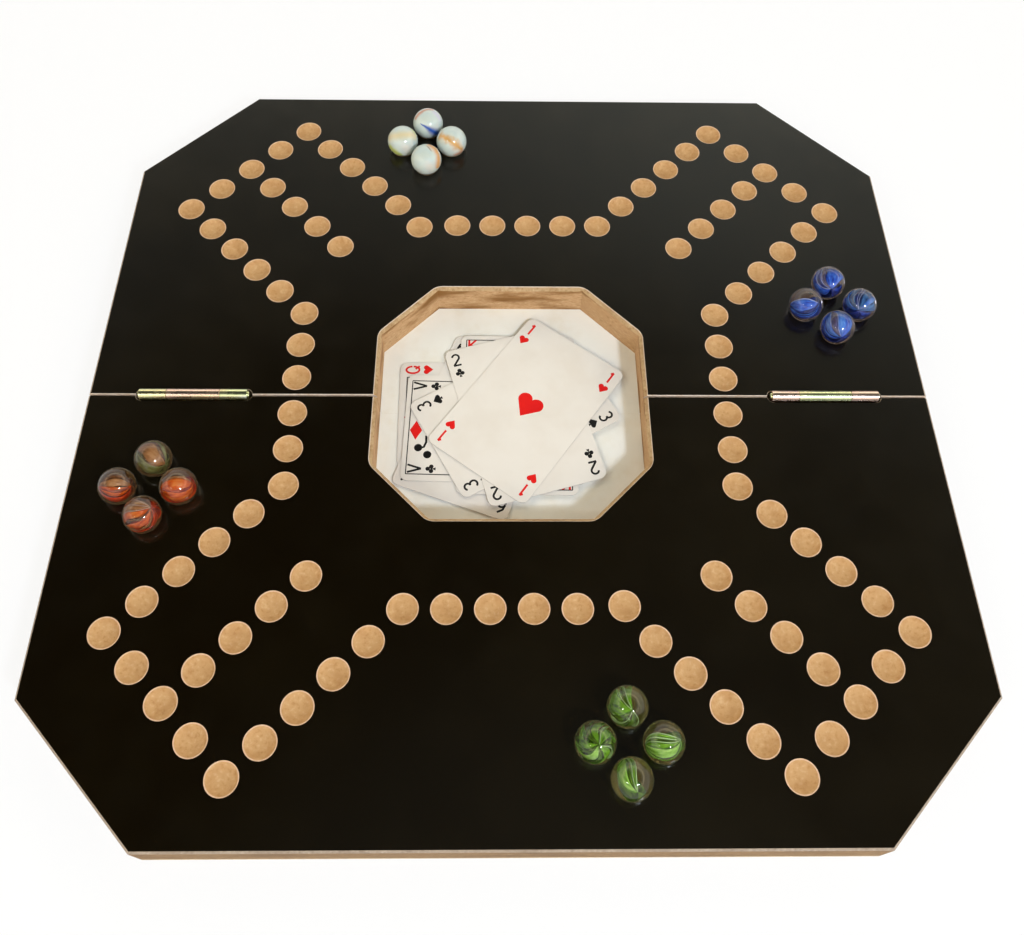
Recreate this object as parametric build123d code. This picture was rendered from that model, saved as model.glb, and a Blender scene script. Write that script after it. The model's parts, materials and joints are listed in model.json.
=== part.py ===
from build123d import *
import os
from math import cos, radians, sin

# Folding marble and card board, in millimetres.
# X runs along the fold, Y from the near edge to the far edge, Z up from the table.
# The origin is on the table under the middle of the open board.

# Open board, over both halves and the gap at the fold
board_width = 401.0
board_depth = 393.0
corner_cut = 56.0
fold_gap = 0.8
board_thickness = 18.0
top_arris = 0.9

# Thin sheet under each half that makes the tray floor
floor_thickness = 3.0
floor_arris = 1.0
floor_gap = 0.2

# Card tray cut through the middle, half of it in each board
tray_width = 128.0
tray_depth = 124.4
tray_corner_cut = 27.0

# Sloped rim of the tray, cut with a bit that leaves its corners round
rim_width = 1.8
rim_corner_radius = 8.0

# Marbles and the ball-nose dimples that hold them
marble_radius = 8.35
marble_clearance = 0.3
marble_rise = 5.7  # of a marble's centre above the top face
ball_sides = 14
ball_band_degrees = 30

# Track of dimples, measured on each board before the fold gap parts them
arm_angles = (45, 135, 225, 315)
arm_length = 200.3  # from the middle to the row across the arm's end
arm_pitch = 18.8
arm_side_holes = 4
end_pitch = 20.1
end_half_steps = 2
home_start = 181.8  # from the middle to the outer home dimple
home_holes = 4
line_distance = 103.1
line_pitch = 18.6
line_holes = 6
turn_hole_shift = (1.4, 1.2)  # the far line's left dimple steps out and back
base_reach = 13.5  # from a base's middle to each of its four dimples
far_base_inset = (154.8, 38.0)  # of the far base from the left and far edges
side_base_inset = (38.6, 146.7)  # of the side base from the right and far edges

# Two butt hinges let into the fold, with their pins just above the top face
hinge_inset = 49.8  # of each hinge's middle from the side edge
pin_rise = 0.5
pin_radius = 1.5
pin_tip = 0.8
pin_chamfer = 0.4
barrel_radius = 2.6
barrel_length = 51.0
middle_knuckle_length = 25.0
knuckle_clearance = 0.2
notch_clearance = 0.3
fixed_bore_clearance = 0.01
running_bore_clearance = 0.05
leaf_thickness = 1.0
leaf_height = 16.0
leaf_gap = 0.4  # between the two leaves of the open board
recess_clearance = 0.2
slot_width = 6.2
slot_depth = 3.0
slot_end_clearance = 2.0

# Countersunk wood screws that hold the leaves
screw_spacing = 32.0
screw_drop = 10.0  # below the pin
screw_head_radius = 2.2
screw_shank_radius = 1.2
screw_length = 12.0
screw_point = 3.0
screw_clearance = 0.05
screw_sides = 12

# Playing cards, dropped loose into the tray
card_width = 58.0
card_length = 88.0
card_corner_radius = 3.5
card_thickness = 0.3
card_floor_clearance = 0.1

# Middle of each card in the tray, from the lowest card up
card_middles = {
    "card_heart_queen": (-10.9, 0.5),
    "card_spade_six": (-14.7, -5.8),
    "card_club_jack": (-7.7, -8.6),
    "card_heart_king": (3.5, 0.3),
    "card_spade_three": (2.3, 0.5),
    "card_club_two": (6.3, -0.3),
    "card_heart_ace": (8.6, 3.0),
}

# Turn of each card's long side from the fold
card_turn_degrees = {
    "card_heart_queen": 1.0,
    "card_spade_six": 70.2,
    "card_club_jack": -1.5,
    "card_heart_king": 89.2,
    "card_spade_three": 29.2,
    "card_club_two": 105.7,
    "card_heart_ace": 53.9,
}

top_height = floor_thickness + board_thickness
pin_height = top_height + pin_rise
hinge_middle = board_width / 2 - hinge_inset
leaf_face = leaf_gap / 2  # of each leaf's outer face from the fold's middle


def octagon(width, depth, cut):
    """Rectangle about the origin with its four corners cut at 45 degrees."""
    x = width / 2
    y = depth / 2
    far = [(x, y - cut), (x - cut, y), (cut - x, y), (-x, y - cut)]
    near = [(-x, cut - y), (cut - x, -y), (x - cut, -y), (x, cut - y)]
    return make_face(Polyline(*far, *near, close=True))


def far_of_fold(outline, gap):
    """The part of an outline that lies on the far side of a gap at the fold."""
    far_side = Rectangle(board_width, board_depth, align=(Align.CENTER, Align.MIN))
    return outline & Pos(0, gap / 2) * far_side


def outer_edges(face):
    """A face's edges, without the one on the fold."""
    return face.edges().filter_by(lambda edge: edge.center().Y > fold_gap)


def rim_section(reach):
    """The tray's outline grown by a reach, with the bit's round corners."""
    tray = octagon(tray_width, tray_depth, tray_corner_cut)
    grown = offset(tray, reach, kind=Kind.INTERSECTION)
    return fillet(grown.vertices(), rim_corner_radius - rim_width + reach)


def tray_cutter():
    """Straight octagonal tray with the sloped rim round its top."""
    tray = extrude(octagon(tray_width, tray_depth, tray_corner_cut), board_thickness)
    low = Pos(0, 0, board_thickness - rim_width) * rim_section(0)
    high = Pos(0, 0, board_thickness) * rim_section(rim_width)
    return tray + loft([low, high])


def ring_points(radius, height, sides):
    """Corners of a level regular polygon, or its middle alone where the radius is nothing."""
    if radius == 0:
        return [(0, 0, height)]
    turns = [radians(360 * step / sides) for step in range(sides)]
    return [(radius * cos(turn), radius * sin(turn), height) for turn in turns]


def faceted_turning(profile, sides):
    """Convex turned solid in flat facets, from a list of (radius, height)."""
    points = [point for radius, height in profile for point in ring_points(radius, height, sides)]
    return ConvexPolyhedron(points)


def faceted_ball(radius):
    """Ball in flat facets, with every corner on the sphere."""
    rises = range(ball_band_degrees - 90, 90, ball_band_degrees)
    rings = [(radius * cos(radians(rise)), radius * sin(radians(rise))) for rise in rises]
    return faceted_turning([(0, -radius), *rings, (0, radius)], ball_sides)


def arm_places():
    """Dimples of one arm, as (distance out from the middle, distance across)."""
    steps = range(-end_half_steps, end_half_steps + 1)
    end_row = [(arm_length, step * end_pitch) for step in steps]
    side = end_half_steps * end_pitch
    inward = range(1, arm_side_holes + 1)
    sides = [(arm_length - step * arm_pitch, way * side) for step in inward for way in (-1, 1)]
    home = [(home_start - step * arm_pitch, 0) for step in range(home_holes)]
    return end_row + sides + home


def line_places():
    """Dimples of the straight line that joins the two far arms, from left to right."""
    first = -(line_holes - 1) / 2 * line_pitch
    line = [(first + step * line_pitch, line_distance) for step in range(line_holes)]
    turn_x, turn_y = line[0]
    shift_x, shift_y = turn_hole_shift
    return [(turn_x - shift_x, turn_y - shift_y), *line[1:]]


def side_line_places():
    """Far half of the lines at the left and right of the tray."""
    steps = [(step + 0.5) * line_pitch for step in range(line_holes // 2)]
    return [(way * line_distance, step) for step in steps for way in (-1, 1)]


def far_track_places():
    """Every track dimple of the far board, with the fold gap added."""
    places = line_places() + side_line_places()
    for angle in arm_angles:
        along = Vector(1, 0).rotate(Axis.Z, angle)
        across = Vector(0, 1).rotate(Axis.Z, angle)
        arm = [along * out + across * aside for out, aside in arm_places()]
        places += [(place.X, place.Y) for place in arm if place.Y > 0]
    return [(x, y + fold_gap / 2) for x, y in places]


def base_places(middle):
    """Four dimples of a base, at the points of a square stood on its corner."""
    x, y = middle
    return [(x, y + base_reach), (x - base_reach, y), (x + base_reach, y), (x, y - base_reach)]


far_base_middle = (far_base_inset[0] - board_width / 2, board_depth / 2 - far_base_inset[1])
side_base_middle = (board_width / 2 - side_base_inset[0], board_depth / 2 - side_base_inset[1])


def leaf_recess(way):
    """Recess in the fold face for a leaf, from the slot to just below the leaf."""
    low = pin_height - leaf_height - recess_clearance
    length = barrel_length + 2 * recess_clearance
    width = 2 * (leaf_face + leaf_thickness)
    return Pos(way * hinge_middle, 0, (low + top_height) / 2) * Box(length, width, top_height - low)


def far_board():
    """Far half-board with its half of the tray, its dimples and its hinge slots."""
    outline = octagon(board_width, board_depth, corner_cut)
    board = extrude(far_of_fold(outline, fold_gap), board_thickness)
    board = chamfer(outer_edges(board.faces().sort_by(Axis.Z)[-1]), top_arris)
    board = Pos(0, 0, floor_thickness) * (board - tray_cutter())
    places = far_track_places() + base_places(far_base_middle) + base_places(side_base_middle)
    cutter = faceted_ball(marble_radius + marble_clearance)
    board -= [Pos(x, y, top_height + marble_rise) * cutter for x, y in places]
    slot_length = barrel_length + 2 * slot_end_clearance
    slot = extrude(SlotOverall(slot_length, slot_width), slot_depth)
    for way in (-1, 1):
        board -= Pos(way * hinge_middle, 0, top_height - slot_depth) * slot
        board -= leaf_recess(way)
        board -= screw_pair(way, 1, screw_clearance)
    return board


def far_floor_panel():
    """Thin sheet glued under the far board, closing the tray."""
    outline = octagon(board_width, board_depth, corner_cut)
    panel = extrude(far_of_fold(outline, floor_gap), floor_thickness)
    return chamfer(outer_edges(panel.faces().sort_by(Axis.Z)[0]), floor_arris)


def screw(clearance):
    """Countersunk screw with its head's face at the origin and its point below."""
    head_depth = screw_head_radius - screw_shank_radius
    shank = screw_shank_radius + clearance
    head = faceted_turning([(shank, -head_depth), (screw_head_radius + clearance, 0)], screw_sides)
    body = [(shank, 0), (shank, screw_point - screw_length), (0, -screw_length - clearance)]
    return head + faceted_turning(body, screw_sides)


def screw_pair(way, side, clearance=0):
    """Two screws of one leaf; way is -1 at the left hinge, side is -1 in the near board."""
    seat = Pos(way * hinge_middle, side * leaf_face, pin_height - screw_drop)
    places = [Pos(step * screw_spacing / 2, 0, 0) for step in (-1, 1)]
    return Compound([seat * place * Rot(side * 90, 0, 0) * screw(clearance) for place in places])


def knuckle(start, end, side):
    """One knuckle about the pin, with the neck that joins it to its leaf."""
    length = end - start
    tube = Pos((start + end) / 2, 0, 0) * Rot(0, 90, 0) * Cylinder(barrel_radius, length)
    drop = barrel_radius + notch_clearance
    neck_middle = ((start + end) / 2, side * (leaf_face + leaf_thickness / 2), -drop / 2)
    return tube + Pos(*neck_middle) * Box(length, leaf_thickness, drop)


def leaf(way, side, spans, bore_clearance):
    """Hinge leaf flat on the fold face, with knuckles over the given spans of the barrel."""
    top = barrel_radius + notch_clearance
    height = leaf_height - top
    middle = (0, side * (leaf_face + leaf_thickness / 2), -top - height / 2)
    plate = Pos(*middle) * Box(barrel_length, leaf_thickness, height)
    for start, end in spans:
        plate += knuckle(start, end, side)
    bore = Rot(0, 90, 0) * Cylinder(pin_radius + bore_clearance, barrel_length)
    return Pos(way * hinge_middle, 0, pin_height) * (plate - bore) - screw_pair(way, side, screw_clearance)


def near_leaf(way):
    """Near leaf, which carries the two end knuckles and grips the pin."""
    inner = middle_knuckle_length / 2 + knuckle_clearance
    outer = barrel_length / 2
    return leaf(way, -1, [(-outer, -inner), (inner, outer)], fixed_bore_clearance)


def far_leaf(way):
    """Far leaf, which turns on the pin with the middle knuckle."""
    reach = middle_knuckle_length / 2
    return leaf(way, 1, [(-reach, reach)], running_bore_clearance)


def hinge_pin(way):
    """Pin through all three knuckles, with a short bevelled tip at each end."""
    pin = Rot(0, 90, 0) * Cylinder(pin_radius, barrel_length + 2 * pin_tip)
    pin = chamfer(pin.edges().filter_by(GeomType.CIRCLE), pin_chamfer)
    return Pos(way * hinge_middle, 0, pin_height) * pin


def card(layer, x, y, angle):
    """Playing card with round corners, lying in the given layer of the pile."""
    outline = RectangleRounded(card_length, card_width, card_corner_radius)
    height = floor_thickness + card_floor_clearance + layer * card_thickness
    return Pos(x, y, height) * Rot(0, 0, angle) * extrude(outline, card_thickness)


def half_turn(shape):
    """The same shape on the other half, turned half round about the board's middle."""
    return Rot(0, 0, 180) * shape


def all_parts():
    """Every piece of the board, by name."""
    parts = {"far_board": far_board(), "far_floor_panel": far_floor_panel()}
    parts["near_board"] = half_turn(parts["far_board"])
    parts["near_floor_panel"] = half_turn(parts["far_floor_panel"])
    for place, way in (("left", -1), ("right", 1)):
        parts[f"{place}_hinge_near_leaf"] = near_leaf(way)
        parts[f"{place}_hinge_far_leaf"] = far_leaf(way)
        parts[f"{place}_hinge_pin"] = hinge_pin(way)
        parts[f"{place}_hinge_near_screws"] = screw_pair(way, -1)
        parts[f"{place}_hinge_far_screws"] = screw_pair(way, 1)
    marble = faceted_ball(marble_radius)
    bases = {"far": ("near", far_base_middle), "right": ("left", side_base_middle)}
    for base, (opposite, middle) in bases.items():
        for number, (x, y) in enumerate(base_places(middle), start=1):
            placed = Pos(x, y, top_height + marble_rise) * marble
            parts[f"{base}_marble_{number}"] = placed
            parts[f"{opposite}_marble_{number}"] = half_turn(placed)
    for layer, (name, middle) in enumerate(card_middles.items()):
        parts[name] = card(layer, *middle, card_turn_degrees[name])
    return parts


os.makedirs("parts", exist_ok=True)
for part_name, shape in all_parts().items():
    export_step(shape, f"parts/{part_name}.step")
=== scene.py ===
import json
from math import acos, asin, atan2, ceil, cos, degrees, pi, radians, sin, sqrt

import bmesh
import bpy
from mathutils import Matrix, Vector
from mathutils.geometry import delaunay_2d_cdt

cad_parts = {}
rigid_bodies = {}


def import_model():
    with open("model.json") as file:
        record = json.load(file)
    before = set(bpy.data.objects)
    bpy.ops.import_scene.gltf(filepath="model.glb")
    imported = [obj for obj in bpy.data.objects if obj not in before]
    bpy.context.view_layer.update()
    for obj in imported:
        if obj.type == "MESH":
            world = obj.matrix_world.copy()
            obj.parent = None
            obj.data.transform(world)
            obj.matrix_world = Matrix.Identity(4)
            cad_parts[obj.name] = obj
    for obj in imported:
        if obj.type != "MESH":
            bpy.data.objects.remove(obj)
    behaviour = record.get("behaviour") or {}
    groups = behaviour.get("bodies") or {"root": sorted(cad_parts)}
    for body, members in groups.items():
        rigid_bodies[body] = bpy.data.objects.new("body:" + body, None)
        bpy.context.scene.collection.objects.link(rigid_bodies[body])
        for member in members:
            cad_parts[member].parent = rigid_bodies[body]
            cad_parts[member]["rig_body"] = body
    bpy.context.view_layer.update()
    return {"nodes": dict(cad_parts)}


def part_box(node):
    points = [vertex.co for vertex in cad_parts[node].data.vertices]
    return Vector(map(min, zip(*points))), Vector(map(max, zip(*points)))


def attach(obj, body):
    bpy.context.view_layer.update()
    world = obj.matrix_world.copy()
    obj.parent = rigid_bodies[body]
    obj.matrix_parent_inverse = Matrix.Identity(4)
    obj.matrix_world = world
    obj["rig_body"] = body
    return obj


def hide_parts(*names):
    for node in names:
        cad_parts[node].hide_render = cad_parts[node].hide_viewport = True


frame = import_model()
scene = bpy.context.scene
scene.view_settings.view_transform = "Standard"

# Camera
# The view is from the near side of the board, high and just left of the middle, with a short
# lens. The picture's middle lies below the lens axis, which the shift allows for.
camera_place = (-0.00828, -0.24046, 0.44998)
camera_turn = (radians(32.361), radians(-1.0015), radians(-0.3609))
camera_lens = 36.10
camera_shift = (-0.0004, -0.1242)

camera = bpy.data.objects.new("camera", bpy.data.cameras.new("camera"))
camera.location = camera_place
camera.rotation_euler = camera_turn
camera.data.sensor_width = 36
camera.data.lens = camera_lens
camera.data.shift_x, camera.data.shift_y = camera_shift
camera.data.clip_start = 0.01
scene.collection.objects.link(camera)
scene.camera = camera

# Table and room
# A white table sweeps up into a white surround. A soft window lies to the near right, with a
# weaker one to the near left. The room is bright low down and dim overhead, where the black
# face of the board mirrors it, and a little brighter on the right.
table_radius = 2.2
sweep_radius = 0.6
surround_height = 1.5
table_drop = 0.0002
surround_sides = 64
sweep_steps = 8
table_white = (0.9, 0.9, 0.9, 1)
table_glow_share = 0.86
room_low_colour = (1.0, 0.84, 0.61, 1)
room_high_colour = (0.92, 1.0, 0.92, 1)
room_low_level = 2.5
room_high_level = 0.54
room_top_level = 0.01
room_crown_level = 0.11
room_left_share = 0.45
room_right_share = 1.45
room_right_level = 0.07
room_edge_loss = 0.7


def place_node(tree, kind, inputs=None, **settings):
    """Adds a shader node and gives each named input a value or another node's output."""
    made = tree.nodes.new(kind)
    for name, value in settings.items():
        setattr(made, name, value)
    for name, value in (inputs or {}).items():
        if isinstance(value, bpy.types.NodeSocket):
            tree.links.new(value, made.inputs[name])
        else:
            made.inputs[name].default_value = value
    return made


def math_node(tree, operation, *values):
    """Output of one Math node on the given values or outputs."""
    return place_node(tree, "ShaderNodeMath", dict(enumerate(values)), operation=operation).outputs[0]


def between(tree, value, low, high, to_low=0.0, to_high=1.0):
    """Output that runs smoothly from to_low to to_high as value runs from low to high."""
    inputs = {"Value": value, 1: low, 2: high, 3: to_low, 4: to_high}
    settings = {"interpolation_type": "SMOOTHSTEP"}
    return place_node(tree, "ShaderNodeMapRange", inputs, **settings).outputs[0]


def mix_colours(tree, share, first, second):
    """Colour that goes from the first to the second as share goes from 0 to 1."""
    inputs = {0: share, 6: first, 7: second}
    return place_node(tree, "ShaderNodeMix", inputs, data_type="RGBA").outputs[2]


def bare_material(name):
    """New material that holds only its output node, with its tree and that node's Surface."""
    made = bpy.data.materials.new(name)
    made.use_nodes = True
    tree = made.node_tree
    tree.nodes.clear()
    surface = tree.nodes.new("ShaderNodeOutputMaterial").inputs["Surface"]
    return made, tree, surface


def turned_shape(profile, sides):
    """Vertices and faces of a shape turned about Z, from its (radius, height) points in order."""
    verts, faces, before = [], [], None
    for radius, height in profile:
        first = len(verts)
        steps = range(sides if radius > 0 else 1)
        turns = [2 * pi * step / sides for step in steps]
        verts += [(radius * cos(turn), radius * sin(turn), height) for turn in turns]
        row = [first + step % len(turns) for step in range(sides)]
        if before:
            for step in range(sides):
                after = (step + 1) % sides
                corners = [before[step], before[after], row[after], row[step]]
                faces.append(list(dict.fromkeys(corners)))
        before = row
    return verts, faces


def smooth(mesh, sharp_degrees):
    """Shades the mesh smoothly, but sharp along edges that turn by more than the given angle."""
    mesh.shade_smooth()
    mesh.set_sharp_from_angle(angle=radians(sharp_degrees))


def new_mesh(name, verts, faces, sharp_degrees=30):
    """Smooth-shaded mesh that is sharp along edges that turn by more than the given angle."""
    mesh = bpy.data.meshes.new(name)
    mesh.from_pydata(verts, [], faces)
    mesh.validate()
    smooth(mesh, sharp_degrees)
    return mesh


def new_object(name, mesh, place=(0, 0, 0)):
    """Object that holds the mesh, linked into the scene at its place."""
    made = bpy.data.objects.new(name, mesh)
    made.location = place
    scene.collection.objects.link(made)
    bpy.context.view_layer.update()
    return made


sweep_turns = [radians(90) * step / sweep_steps for step in range(sweep_steps + 1)]
sweep = [
    (table_radius + sweep_radius * sin(turn), sweep_radius * (1 - cos(turn)) - table_drop)
    for turn in sweep_turns
]
table_profile = [(0, -table_drop), *sweep, (table_radius + sweep_radius, surround_height)]
table = new_object("table", new_mesh("table", *turned_shape(table_profile, surround_sides)))

table_finish, tree, surface = bare_material("white_table")
path = place_node(tree, "ShaderNodeLightPath")
seen = math_node(tree, "ADD", path.outputs["Is Camera Ray"], path.outputs["Is Glossy Ray"])
seen = math_node(tree, "ADD", seen, path.outputs["Is Transmission Ray"])
seen = math_node(tree, "MINIMUM", seen, 1.0)
share = math_node(tree, "MULTIPLY", seen, table_glow_share)
paint = place_node(tree, "ShaderNodeBsdfPrincipled", {"Base Color": table_white, "Roughness": 0.9})
glow = place_node(tree, "ShaderNodeEmission", {"Color": (1, 1, 1, 1), "Strength": 1.0})
mixed = place_node(tree, "ShaderNodeMixShader", {0: share, 1: paint.outputs[0], 2: glow.outputs[0]})
tree.links.new(mixed.outputs[0], surface)
table.data.materials.append(table_finish)

world = bpy.data.worlds.new("room")
world.use_nodes = True
tree = world.node_tree
direction = place_node(tree, "ShaderNodeTexCoord").outputs["Generated"]
parts = place_node(tree, "ShaderNodeSeparateXYZ", {0: direction}).outputs
high = between(tree, parts["Z"], 0.73, 0.86, room_high_level, room_top_level)
sideways = between(tree, parts["X"], -0.35, 0.22, room_left_share, room_right_share)
sideways = math_node(tree, "SUBTRACT", sideways, between(tree, parts["X"], 0.20, 0.45, 0.0, room_edge_loss))
level = math_node(tree, "MULTIPLY", high, sideways)
for axis, *band in (
    ("Z", 0.54, 0.70, room_low_level, 0.0),
    ("Z", 0.95, 0.99, 0.0, room_crown_level),
    ("X", -0.1, 0.3, 0.0, room_right_level),
):
    level = math_node(tree, "ADD", level, between(tree, parts[axis], *band))
colour = mix_colours(tree, between(tree, parts["Z"], 0.5, 0.7), room_low_colour, room_high_colour)
background = tree.nodes["Background"].inputs
tree.links.new(colour, background["Color"])
tree.links.new(level, background["Strength"])
scene.world = world


def add_lamp(name, direction, distance, size, watts, colour):
    """Round soft lamp that faces the middle of the board from the given direction."""
    lamp = bpy.data.objects.new(name, bpy.data.lights.new(name, "AREA"))
    lamp.data.shape = "DISK"
    lamp.data.size = size
    lamp.data.energy = watts
    lamp.data.color = colour
    lamp.location = Vector(direction).normalized() * distance
    lamp.rotation_euler = Vector(direction).to_track_quat("Z", "Y").to_euler()
    scene.collection.objects.link(lamp)


add_lamp("near_right_lamp", (0.40, -0.62, 0.70), 1.4, 0.16, 10.7, (0.77, 0.86, 1.0))
add_lamp("near_left_lamp", (-0.50, -0.50, 0.71), 1.4, 0.12, 1.6, (1.0, 0.98, 0.95))

# Half-boards
# Two halves of one board, cut from fibreboard with a satin black face. The outer edges are broken
# to a pale line, the card tray is routed through with a sloped rim, ball-nose dimples show the
# bare tan fibre, and a slot with a recess below it takes each hinge. The faces of the slots and
# recesses are painted near-black brown as painted shade.
corner_cut = 0.056
tray_width = 0.128
tray_depth = 0.1244
tray_corner_cut = 0.027
rim_width = 0.0018
rim_corner_radius = 0.008
rim_line = 0.0003
outer_arris = 0.0009
fold_arris = 0.00025
marble_gap = 0.0003
dimple_rise = 0.0057
dimple_lip = 0.0004
lip_slope = 0.02
dimple_sides = 48
dimple_rings = 9
slot_end_clearance = 0.002
slot_width = 0.0062
slot_depth = 0.003
leaf_face = 0.0002
leaf_thickness = 0.001
recess_clearance = 0.0002
corner_steps = 8

fibre_tan = (0.51, 0.305, 0.137, 1)
fibre_speck = (0.37, 0.18, 0.06, 1)
fibre_light = (0.58, 0.38, 0.20, 1)
wall_tan = (0.47, 0.29, 0.148, 1)
wall_stain = (0.20, 0.088, 0.018, 1)
wall_light = (0.57, 0.41, 0.24, 1)
edge_brown = (0.235, 0.135, 0.053, 1)
face_black = (0.0038, 0.0022, 0.0003, 1)
face_haze = (0.0062, 0.0040, 0.0010, 1)
along_wall = (0.35, 0.35, 1.3)


def new_group(name, inputs, outputs):
    """Empty node group with sockets listed by their kind, and its input and output nodes."""
    tree = bpy.data.node_groups.new(name, "ShaderNodeTree")
    for way, sockets in (("INPUT", inputs), ("OUTPUT", outputs)):
        for kind, labels in sockets.items():
            for label in labels:
                tree.interface.new_socket(label, in_out=way, socket_type="NodeSocket" + kind)
    given = tree.nodes.new("NodeGroupInput").outputs
    result = tree.nodes.new("NodeGroupOutput").inputs
    return tree, given, result


def use_group(tree, group, inputs):
    """Outputs of a node group placed with its own values."""
    return place_node(tree, "ShaderNodeGroup", inputs, node_tree=group).outputs


def noise(tree, coordinates, scale, detail=2.0, roughness=0.5):
    """Output of a noise texture from 0 to 1."""
    inputs = {"Vector": coordinates, "Scale": scale, "Detail": detail, "Roughness": roughness}
    return place_node(tree, "ShaderNodeTexNoise", inputs).outputs["Fac"]


def bump(tree, height, distance, strength=1.0):
    """Normal of a surface that the height raises by up to the distance."""
    inputs = {"Height": height, "Distance": distance, "Strength": strength}
    return place_node(tree, "ShaderNodeBump", inputs).outputs[0]


def stretched(tree, place, stretch):
    """Place stretched along the axes."""
    return place_node(tree, "ShaderNodeMapping", {"Vector": place, "Scale": stretch}).outputs[0]


def object_place(tree, stretch=(1, 1, 1)):
    """Place on the piece in its own rest frame, stretched along the axes."""
    return stretched(tree, place_node(tree, "ShaderNodeTexCoord").outputs["Object"], stretch)


def new_material(name, values):
    """New material with one Principled shader set to the values, with its tree and shader."""
    made, tree, surface = bare_material(name)
    shader = place_node(tree, "ShaderNodeBsdfPrincipled", values)
    tree.links.new(shader.outputs[0], surface)
    return made, tree, shader.inputs


fibre_inputs = {
    "Vector": ["Place"],
    "Color": ["Fibre", "Speck", "Light"],
    "Float": ["Speck Scale", "Blotch Scale", "Blotch"],
}
fibre_outputs = {"Color": ["Color"], "Float": ["Height"]}
fibre_group, given, result = new_group("pressed_fibre", fibre_inputs, fibre_outputs)
tree = fibre_group
fine = noise(tree, given["Place"], given["Speck Scale"], 3.0, 0.6)
coarse = noise(tree, given["Place"], given["Blotch Scale"], 2.0, 0.5)
specks = math_node(tree, "MULTIPLY", between(tree, fine, 0.48, 0.28), 0.6)
blotches = math_node(tree, "MULTIPLY", between(tree, coarse, 0.45, 0.68), given["Blotch"])
colour = mix_colours(tree, between(tree, fine, 0.52, 0.74), given["Fibre"], given["Light"])
for share in (specks, blotches):
    colour = mix_colours(tree, share, colour, given["Speck"])
tree.links.new(colour, result["Color"])
tree.links.new(fine, result["Height"])


def fibre_material(name, colours, scales, blotch, roughness, stretch=(1, 1, 1)):
    """Bare pressed fibre: its colours are base, speck and light, its scales specks and blotches."""
    made, tree, shader = new_material(name, {"Roughness": roughness, "Specular IOR Level": 0.3})
    values = dict(zip(fibre_inputs["Color"] + fibre_inputs["Float"], (*colours, *scales, blotch)))
    fibres = use_group(tree, fibre_group, {"Place": object_place(tree, stretch), **values})
    tree.links.new(fibres["Color"], shader["Base Color"])
    tree.links.new(bump(tree, fibres["Height"], 0.00006, 0.5), shader["Normal"])
    return made


def black_face_material():
    """Satin black face with a faint brown haze, rubbed a little unevenly."""
    made, tree, shader = new_material("satin_black_face", {"Specular IOR Level": 0.42})
    place = object_place(tree)
    haze = between(tree, noise(tree, place, 14.0, 3.0, 0.6), 0.35, 0.75)
    tree.links.new(mix_colours(tree, haze, face_black, face_haze), shader["Base Color"])
    rubbed = between(tree, noise(tree, place, 55.0, 4.0, 0.7), 0.3, 0.8, 0.17, 0.22)
    tree.links.new(rubbed, shader["Roughness"])
    tree.links.new(bump(tree, noise(tree, place, 2600.0), 0.00001, 0.4), shader["Normal"])
    return made


pale_colours = ((0.60, 0.52, 0.46, 1), wall_tan, (0.70, 0.63, 0.57, 1))
rim_colours = ((0.43, 0.29, 0.15, 1), wall_stain, (0.54, 0.40, 0.24, 1))
edge_colours = (edge_brown, (0.12, 0.06, 0.02, 1), (0.36, 0.25, 0.13, 1))
arris_colours = ((0.33, 0.262, 0.205, 1), (0.20, 0.14, 0.10, 1), (0.44, 0.36, 0.29, 1))
lip_colours = ((0.62, 0.42, 0.29, 1), fibre_tan, (0.70, 0.52, 0.38, 1))
# Painted shade: the slot and recess faces get a near-black brown, darker than bare fibre, for the shade
# inside them.
slot_painted_shade_colours = ((0.05, 0.03, 0.015, 1), face_black, edge_brown)
fibre_looks = {
    "cut_line": (pale_colours, (900.0, 150.0), 0.25, 0.6),
    "dimple": ((fibre_tan, fibre_speck, fibre_light), (560.0, 200.0), 0.35, 0.85),
    "wall": ((wall_tan, wall_stain, wall_light), (1300.0, 105.0), 0.95, 0.75, along_wall),
    "rim": (rim_colours, (700.0, 90.0), 0.35, 0.65),
    "edge": (edge_colours, (900.0, 70.0), 0.5, 0.7, along_wall),
    "arris": (arris_colours, (800.0, 60.0), 0.3, 0.6),
    "lip": (lip_colours, (700.0, 150.0), 0.2, 0.6),
    "slot": (slot_painted_shade_colours, (900.0, 200.0), 0.4, 0.7),
}
board_finishes = {"black": black_face_material()}
for name, look in fibre_looks.items():
    board_finishes[name] = fibre_material("fibre_" + name, *look)

board_low, board_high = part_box("far_board")
leaf_low, leaf_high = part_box("right_hinge_far_leaf")
hinge_middle = (leaf_low.x + leaf_high.x) / 2
leaf_reach = (leaf_high.x - leaf_low.x) / 2
marble_low, marble_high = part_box("far_marble_1")
dimple_radius = (marble_high.z - marble_low.z) / 2 + marble_gap
bowl_angle = acos(dimple_rise / dimple_radius)
fold_y = board_low.y
top = board_high.z


class Shape:
    """Vertices and faces of a piece, with the name of each face's finish."""

    def __init__(self):
        self.verts, self.faces, self.finishes = [], [], []

    def row(self, points):
        """Adds the points and returns their numbers."""
        first = len(self.verts)
        self.verts.extend(points)
        return list(range(first, len(self.verts)))

    def face(self, corners, finish):
        """Adds a face; corners that fall on one another count once."""
        places = {tuple(round(value, 7) for value in self.verts[corner]): corner for corner in corners}
        if len(places) > 2:
            self.faces.append(list(places.values()))
            self.finishes.append(finish)

    def side(self, lower, upper, step, finish):
        """Adds the face between two closed rows that starts at the step."""
        after = (step + 1) % len(lower)
        self.face([lower[step], lower[after], upper[after], upper[step]], finish)

    def mesh(self, name, finishes):
        """Mesh with its own finishes out of those given by name."""
        mesh = bpy.data.meshes.new(name)
        mesh.from_pydata(self.verts, [], self.faces)
        used = [finish for finish in finishes if finish in self.finishes]
        mesh.polygons.foreach_set("material_index", [used.index(finish) for finish in self.finishes])
        for finish in used:
            mesh.materials.append(finishes[finish])
        return mesh


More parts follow.
